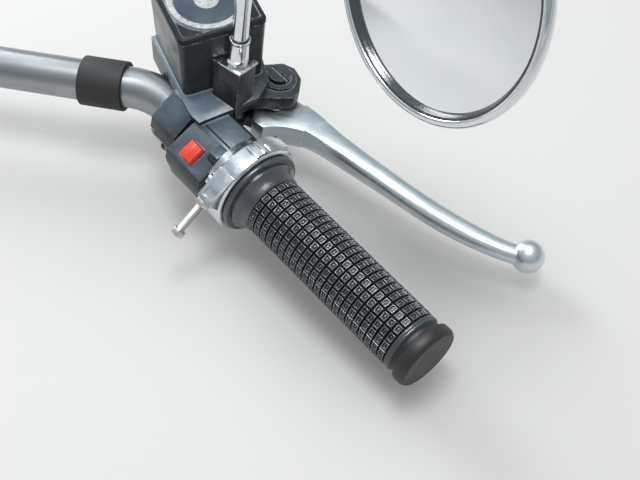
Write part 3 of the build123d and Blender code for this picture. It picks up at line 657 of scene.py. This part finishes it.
# Each solid that gets a finish: the finish, and how far its edges are rounded, in metres
SOFTENED = {
    "brake_master_cylinder": ("cast", 0.0007), "clutch_perch": ("cast", 0.0007),
    "brake_clamp_cap": ("cast", 0.0007), "clutch_clamp_cap": ("cast", 0.0007),
    "brake_reservoir": ("tank", 0.0), "reservoir_lid": ("lid", 0.0),
    "reservoir_cap": ("cap_ring", 0.0003),
    "right_switch_upper": ("box", 0.0005), "right_switch_lower": ("box", 0.0005),
    "left_switch_upper": ("box", 0.0005), "left_switch_lower": ("box", 0.0005),
    "kill_switch": ("red", 0.00015), "light_switch": ("box", 0.00015), "horn_button": ("red", 0.0004),
    "throttle_housing_upper": ("housing", 0.0005), "throttle_housing_lower": ("housing", 0.0005),
    "brake_lever": ("lever", 0.0012), "clutch_lever": ("lever", 0.0012),
    "brake_pivot_bolt": ("cast", 0.0004), "clutch_pivot_bolt": ("cast", 0.0004),
    "banjo_bolt": ("zinc", 0.0004), "clutch_adjuster": ("zinc", 0.0003),
    "clutch_adjuster_wheel": ("zinc", 0.0003), "friction_nut": ("zinc", 0.0004),
    "friction_screw": ("zinc", 0.0004), "piston_boot": ("rubber", 0.0004),
    "loom_tape": ("tape", 0.0004), "handlebar": ("bar", 0.0),
    "right_mirror_plate": ("plate", 0.0003), "left_mirror_plate": ("plate", 0.0003),
    "right_mirror_nut": ("chrome", 0.0003), "left_mirror_nut": ("chrome", 0.0003),
    "right_mirror_arm": ("chrome", 0.0), "left_mirror_arm": ("chrome", 0.0),
    "right_mirror_shell": ("rim", 0.0005), "left_mirror_shell": ("rim", 0.0005),
}


# ---------- operators ----------


class HANDLEBAR_OT_castings(bpy.types.Operator):
    """Round the edges of the solids and give them their finishes"""

    bl_idname = "handlebar.castings"
    bl_label = "Castings and fittings"

    def execute(self, context):
        for node, (material, width) in SOFTENED.items():
            softened(node, material, width, reshape=RESHAPED.get(node))
        return {"FINISHED"}


def tube_outline():
    """Radius and station of the throttle tube, with the flange that stands out of its housing."""
    return [
        (GRIP_BORE, 75.0), (TUBE_RADIUS, 75.0), (TUBE_RADIUS, 83.9), (21.9, 83.9), (21.9, 84.6),
        (22.7, 84.7), (23.2, 85.2), (23.2, 86.6), (22.6, 87.4), (19.6, 87.5), (19.6, 87.9),
        (TUBE_RADIUS, 87.9), (TUBE_RADIUS, 204.9), (GRIP_BORE, 204.9),
    ]


def grip_outline(side):
    """Radius and station of the grip's rubber, from its inner ring to its closed end."""
    ring = [(TUBE_RADIUS, 88.0), (19.9, 88.0)]
    if side == "left":
        ring = [
            (GRIP_BORE, 83.7), (22.6, 83.7), (23.2, 84.3), (23.2, 86.6), (22.6, 87.4), (19.9, 87.5),
            (19.9, 88.0),
        ]
    return ring + [
        (20.3, 88.3), (20.4, 89.0), (20.0, 89.7), (19.0, 90.6), (18.1, 92.0), (17.5, 93.6), (17.1, 95.2),
        (16.6, 96.2), (14.9, 96.8), (14.9, 195.1), (16.2, 195.4), (16.4, 195.9), (16.4, 196.5), (16.0, 196.8),
        (16.4, 197.1), (16.4, 197.9), (15.9, 198.4), (15.3, 199.3), (15.3, 201.6),
        (17.2, 202.3), (17.6, 203.3), (17.6, 206.6), (17.0, 208.2), (16.2, 209.1), (15.3, 209.2),
        (14.9, 209.0), (0.0, 209.0), (0.0, 205.0), (GRIP_BORE, 205.0),
    ]


# Steps inwards across a pad: width and rise in mm, and whether gloves rub it, giving it the paler finish that
# is partly a painted glint
PAD_STEPS = (
    (0.24, 0.18, 1), (0.20, 0.0, 1), (0.22, -0.16, 1), (0.10, -0.95, 0), (0.42, 0.0, 0), (0.10, 0.62, 0),
    (0.16, 0.14, 1),
)


def waffle_cell(sizes):
    """One raised square pad with a sunk middle and a small pip, lying at the grip's top."""
    pitch = sizes.waffle_length / sizes.waffle_rows
    width = math.tau * sizes.grip_radius / sizes.waffle_round
    base = sizes.grip_radius - sizes.pad_height
    bm = bmesh.new()
    bmesh.ops.create_grid(bm, x_segments=1, y_segments=1, size=0.5)
    bmesh.ops.scale(bm, vec=(pitch * PAD_ALONG, width * PAD_ROUND, 1), verts=bm.verts)
    bmesh.ops.translate(bm, vec=(0, 0, base - PAD_FOOT), verts=bm.verts)
    raised = bmesh.ops.extrude_face_region(bm, geom=bm.faces[:])
    lifted = [item for item in raised["geom"] if isinstance(item, bmesh.types.BMVert)]
    bmesh.ops.translate(bm, vec=(0, 0, sizes.pad_height + PAD_LIFT), verts=lifted)
    face = [item for item in raised["geom"] if isinstance(item, bmesh.types.BMFace)]
    bmesh.ops.scale(bm, vec=(PAD_TAPER, PAD_TAPER, 1), verts=lifted)
    for thickness, depth, rubbed_glint in PAD_STEPS:
        ring = bmesh.ops.inset_region(bm, faces=face, thickness=thickness, depth=depth, use_even_offset=True)
        for part in ring["faces"]:
            part.material_index = rubbed_glint
    # The pip's top gets the paler finish as well, partly a painted glint
    face[0].material_index = 1
    bmesh.ops.recalc_face_normals(bm, faces=bm.faces)
    return bm


def waffle_sleeve(sizes):
    """All the pads: one cell spun round the bar, and that ring repeated along it."""
    bm = waffle_cell(sizes)
    pitch = sizes.waffle_length / sizes.waffle_rows
    bmesh.ops.translate(bm, vec=(sizes.waffle_start + pitch / 2, 0, 0), verts=bm.verts)
    bmesh.ops.spin(
        bm, geom=bm.verts[:] + bm.edges[:] + bm.faces[:], angle=math.tau * (1 - 1 / sizes.waffle_round),
        steps=sizes.waffle_round - 1, axis=(1, 0, 0), cent=(0, 0, 0), use_duplicate=True,
    )
    ring = bm.verts[:] + bm.edges[:] + bm.faces[:]
    for row in range(1, sizes.waffle_rows):
        copy = bmesh.ops.duplicate(bm, geom=ring)
        verts = [item for item in copy["geom"] if isinstance(item, bmesh.types.BMVert)]
        bmesh.ops.translate(bm, vec=(pitch * row, 0, 0), verts=verts)
    bmesh.ops.transform(bm, matrix=Matrix.Rotation(math.radians(sizes.pad_turn), 4, "X"), verts=bm.verts)
    return bm


# Further finishes of a grip's sleeve, beside its rubber: painted shade in the groove between the pads, a
# painted sheen in the ring finish of the neck, and the end's finish
SLEEVE_SLOTS = {"groove": 1, "ring": 2, "grip_end": 3}


def mark_sleeve(sleeve):
    """Give the neck, the end and the floor between the pads their own finishes: a painted sheen on the neck,
    painted shade on the floor between the pads.
    """
    for face in sleeve.faces:
        station = face.calc_center_median().z
        if station < NECK_END:
            face.material_index = SLEEVE_SLOTS["ring"]
        elif station > END_GROOVE:
            face.material_index = SLEEVE_SLOTS["grip_end"]
        elif max(vert.co.xy.length for vert in face.verts) < GROOVE_FLOOR:
            face.material_index = SLEEVE_SLOTS["groove"]


class HANDLEBAR_OT_grips(bpy.types.Operator):
    """Rubber grips: a turned sleeve with its end flange, and the waffle of raised pads"""

    bl_idname = "handlebar.grips"
    bl_label = "Grips"

    def execute(self, context):
        sizes = context.scene.handlebar_sizes
        tube = spun(tube_outline())
        round_edges(tube, 0.25, 25)
        lay_along_bar(tube)
        finish_piece(
            "throttle_tube_turned", tube, "throttle", "ring", ("throttle_tube",), matrix=end_matrix("right"))
        for side, body in (("right", "throttle"), ("left", "handlebar")):
            matrix = end_matrix(side, shifted=False)
            sleeve = spun(grip_outline(side))
            round_edges(sleeve, 0.35, 25)
            mark_sleeve(sleeve)
            lay_along_bar(sleeve)
            finish_piece(
                f"{side}_grip_sleeve", sleeve, body, "rubber", (f"{side}_grip",), matrix=matrix,
                others=tuple(SLEEVE_SLOTS),
            )
            finish_piece(
                f"{side}_grip_waffle", waffle_sleeve(sizes), body, "rubber", (f"{side}_grip",), matrix=matrix,
                sharp=50, others=("rubbed_glint",),
            )
        return {"FINISHED"}


def tank_matrix():
    """From millimetres above the deck in the reservoir's own frame to metres."""
    return end_matrix("right") @ Matrix.Translation(TANK_PLACE) @ Matrix.Rotation(TANK_TURN, 4, "Z")


class HANDLEBAR_OT_reservoir(bpy.types.Operator):
    """Plain dark face of the reservoir's cap, with a raised pale middle"""

    bl_idname = "handlebar.reservoir"
    bl_label = "Reservoir"

    def execute(self, context):
        cap = tank_matrix() @ Matrix.Translation(CAP_PLACE)
        face = spun([(0.0, 0.0), (16.6, 0.0), (16.6, 0.08), (0.0, 0.25)], steps=72)
        finish_piece("reservoir_cap_face", face, "handlebar", "cap_face", matrix=cap)
        middle = spun([(0.0, 0.2), (6.2, 0.2), (6.2, 0.42), (5.7, 0.6), (0.0, 0.62)], steps=48)
        finish_piece("reservoir_cap_middle", middle, "handlebar", "cap_middle", matrix=cap)
        return {"FINISHED"}


# Screws on the undersides: station and forward place in mm, and the head's radius and height
CLAMP_SCREWS = ((27.5, -12.2, 4.0, 3.0), (27.5, 11.2, 4.0, 3.0))
BOX_SCREWS = ((52.0, -13.0, 2.6, 1.6), (52.0, 11.0, 2.6, 1.6))
FASTENERS = [(node, *screw) for node in ("brake_clamp_cap", "clutch_clamp_cap") for screw in CLAMP_SCREWS]
FASTENERS += [(node, *screw) for node in ("right_switch_lower", "left_switch_lower") for screw in BOX_SCREWS]

# A screw's shank length, and the share of its head that stands out of the face
SHANK = 4.0
PROUD = 0.7


def top_faces(bm, reach):
    """Faces that look up and whose middle lies within a reach of the axis."""
    return [
        face for face in bm.faces
        if face.normal.z > 0.9 and face.calc_center_median().xy.length < reach
    ]


def cap_screw(radius, height):
    """Socket head with a chamfered rim and a sunk middle, its top at z = 0 and its shank below."""
    bm = spun([
        (0.0, -height - SHANK), (radius * 0.6, -height - SHANK), (radius * 0.6, -height), (radius, -height),
        (radius, -0.35), (radius - 0.35, 0.0), (radius * 0.62, 0.0), (0.0, 0.0),
    ], steps=24)
    bmesh.ops.dissolve_faces(bm, faces=top_faces(bm, radius * 0.6))
    bm.faces.ensure_lookup_table()
    top = top_faces(bm, radius * 0.1)
    bmesh.ops.inset_region(bm, faces=top, thickness=radius * 0.04, depth=0)
    bmesh.ops.inset_region(bm, faces=top, thickness=0.02, depth=-min(1.6, height * 0.6))
    return bm


class HANDLEBAR_OT_fasteners(bpy.types.Operator):
    """Socket screws of the clamp caps and of the switch boxes, set into the faces below"""

    bl_idname = "handlebar.fasteners"
    bl_label = "Fasteners"

    def execute(self, context):
        for count, (node, station, forward, radius, height) in enumerate(FASTENERS):
            side = "left" if node.startswith(("left", "clutch")) else "right"
            place = end_matrix(side, tilted="clamp" in node)
            solid = bmesh.new()
            solid.from_mesh(NODES[node].data)
            bmesh.ops.transform(solid, matrix=place.inverted(), verts=solid.verts)
            hit = BVHTree.FromBMesh(solid).ray_cast(Vector((station, forward, -80)), Vector((0, 0, 1)))
            solid.free()
            seat = Matrix.Translation(hit[0] - Vector((0, 0, height * PROUD)))
            finish_piece(
                f"{node}_screw_{count}", cap_screw(radius, height), NODES[node]["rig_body"], "zinc",
                matrix=place @ seat @ Matrix.Rotation(math.pi, 4, "X"),
            )
        return {"FINISHED"}


# Radius and height above the rim's front of each turned piece of a mirror head, in mm
MIRROR_OUTLINES = {
    "rim": [
        (53.5, -0.7), (53.9, -0.25), (54.6, 0.0), (55.4, -0.05), (56.2, -0.4), (56.8, -1.1), (57.0, -2.0),
        (56.9, -3.2), (56.4, -4.8), (55.4, -6.5), (53.5, -6.5),
    ],
    "gasket": [
        (53.5, -1.2), (53.1, -0.8), (52.7, -0.75), (52.4, -1.0), (51.0, -3.3), (51.0, -5.4), (53.5, -5.4),
    ],
    "glass": [(0, -3.0), (20, -3.09), (36, -3.28), (51.0, -3.6), (51.0, -5.4), (0, -5.4)],
}


class HANDLEBAR_OT_mirrors(bpy.types.Operator):
    """Mirror heads: rounded chrome rim, rubber bead and silvered glass"""

    bl_idname = "handlebar.mirrors"
    bl_label = "Mirror heads"

    def execute(self, context):
        for side in ("right", "left"):
            for part, outline in MIRROR_OUTLINES.items():
                finish_piece(
                    f"{side}_mirror_{part}_turned", spun(outline, steps=144), f"{side}_mirror_head", part,
                    (f"{side}_mirror_{part}",), matrix=head_matrix(side), sharp=50,
                )
        return {"FINISHED"}


class HANDLEBAR_OT_studio(bpy.types.Operator):
    """Pale floor, soft lamps, plain world and the camera"""

    bl_idname = "handlebar.studio"
    bl_label = "Studio"

    def execute(self, context):
        scene = context.scene
        self.make_floor(scene)
        self.make_world(scene)
        self.make_lamps(scene)
        self.make_camera(scene)
        scene.view_settings.view_transform = "Standard"
        return {"FINISHED"}

    def make_floor(self, scene):
        """Floor just below the lowest point of the solids."""
        floor = bmesh.new()
        bmesh.ops.create_grid(floor, x_segments=1, y_segments=1, size=12.0)
        bmesh.ops.translate(floor, vec=(0, 0, CAD_BOX[0][2] - 0.0005), verts=floor.verts)
        mesh = bpy.data.meshes.new("studio_floor")
        floor.to_mesh(mesh)
        floor.free()
        mesh.materials.append(MATERIALS["floor"])
        ground = bpy.data.objects.new("studio_floor", mesh)
        scene.collection.objects.link(ground)

    def make_world(self, scene):
        """Pale room: an even light, an even backdrop, and a room with darker parts for shiny faces."""
        world = bpy.data.worlds.new("studio_room")
        scene.world = world
        world.use_nodes = True
        tree = world.node_tree
        back = tree.nodes["Background"]
        place = tree.nodes.new("ShaderNodeTexCoord")
        split = tree.nodes.new("ShaderNodeSeparateXYZ")
        ramp = tree.nodes.new("ShaderNodeValToRGB")
        tree.links.new(place.outputs["Generated"], split.inputs[0])
        tree.links.new(split.outputs["Z"], ramp.inputs[0])
        seen = tree.nodes.new("ShaderNodeLightPath")
        choice = tree.nodes.new("ShaderNodeMix")
        choice.data_type = "RGBA"
        choice.inputs[6].default_value = (*ROOM_LIGHT, 1)
        tree.links.new(seen.outputs["Is Glossy Ray"], choice.inputs[0])
        tree.links.new(ramp.outputs["Color"], choice.inputs[7])
        backdrop = tree.nodes.new("ShaderNodeMix")
        backdrop.data_type = "RGBA"
        backdrop.inputs[7].default_value = (*BACKDROP, 1)
        tree.links.new(seen.outputs["Is Camera Ray"], backdrop.inputs[0])
        tree.links.new(choice.outputs[2], backdrop.inputs[6])
        tree.links.new(backdrop.outputs[2], back.inputs["Color"])
        stops = ramp.color_ramp.elements
        stops.remove(stops[1])
        for count, (position, colour) in enumerate(ROOM_SHINE):
            stop = stops.new(position) if count else stops[0]
            stop.position = position
            stop.color = (*colour, 1)
        back.inputs["Strength"].default_value = 1.0

    def make_lamps(self, scene):
        """Soft lamps: place, aim, size across and down, power, and whether it only makes highlights."""
        lamps = (
            ("overhead_soft", (0.05, 0.45, 1.20), (0.05, 0.45, 0.0), 1.3, 1.6, 2.4, False),
            ("top_soft", (0.24, -0.05, 1.18), (0.24, -0.05, 0.0), 0.42, 0.42, 4.6, False),
            ("left_soft", (-0.70, 0.71, 0.60), (0.2, -0.02, 0.0), 0.6, 0.6, 9.0, False),
            ("top_card", (0.21, -0.02, 1.16), (0.24, -0.05, 0.0), 0.60, 0.40, 10.0, True),
        )
        for name, place, aim, across, down, power, shine_only in lamps:
            lamp = bpy.data.lights.new(name, "AREA")
            lamp.shape = "RECTANGLE"
            lamp.size = across
            lamp.size_y = down
            lamp.energy = power
            lamp.color = LAMP_TINT
            holder = bpy.data.objects.new(name, lamp)
            holder.location = place
            holder.rotation_euler = (Vector(aim) - Vector(place)).to_track_quat("-Z", "Y").to_euler()
            holder.visible_diffuse = not shine_only
            scene.collection.objects.link(holder)

    def make_camera(self, scene):
        """The photograph's camera."""
        right = Vector((math.cos(CAMERA_TURN), math.sin(CAMERA_TURN), 0))
        back = Vector((
            math.sin(CAMERA_TURN) * math.cos(CAMERA_DROP), -math.cos(CAMERA_TURN) * math.cos(CAMERA_DROP),
            math.sin(CAMERA_DROP),
        ))
        lens = bpy.data.cameras.new("studio_camera")
        lens.lens = 65.6
        lens.sensor_width = 36.0
        lens.clip_start = 0.01
        holder = bpy.data.objects.new("studio_camera", lens)
        holder.matrix_world = axes_matrix(CAMERA_PLACE, right, back.cross(right), back)
        scene.collection.objects.link(holder)
        scene.camera = holder


class HANDLEBAR_PT_panel(bpy.types.Panel):
    """Sizes, finishes and steps of the handlebar"""

    bl_idname = "HANDLEBAR_PT_panel"
    bl_label = "Handlebar"
    bl_space_type = "VIEW_3D"
    bl_region_type = "UI"
    bl_category = "Handlebar"

    def draw(self, context):
        for group in (context.scene.handlebar_sizes, context.scene.handlebar_finish):
            for key in group.bl_rna.properties.keys():
                if key not in ("rna_type", "name"):
                    self.layout.prop(group, key)
        for step in STEPS:
            self.layout.operator(step.bl_idname)


STEPS = (
    HANDLEBAR_OT_castings, HANDLEBAR_OT_reservoir, HANDLEBAR_OT_grips, HANDLEBAR_OT_fasteners,
    HANDLEBAR_OT_mirrors, HANDLEBAR_OT_studio,
)
CLASSES = (HandlebarSizes, HandlebarFinish, HANDLEBAR_PT_panel) + STEPS


def register():
    for cls in CLASSES:
        bpy.utils.register_class(cls)
    bpy.types.Scene.handlebar_sizes = PointerProperty(type=HandlebarSizes)
    bpy.types.Scene.handlebar_finish = PointerProperty(type=HandlebarFinish)


def unregister():
    del bpy.types.Scene.handlebar_finish
    del bpy.types.Scene.handlebar_sizes
    for cls in reversed(CLASSES):
        bpy.utils.unregister_class(cls)


def main():
    register()
    make_materials(bpy.context.scene.handlebar_finish)
    bpy.ops.handlebar.castings()
    bpy.ops.handlebar.reservoir()
    bpy.ops.handlebar.grips()
    bpy.ops.handlebar.fasteners()
    bpy.ops.handlebar.mirrors()
    bpy.ops.handlebar.studio()


if __name__ == "__main__":
    main()
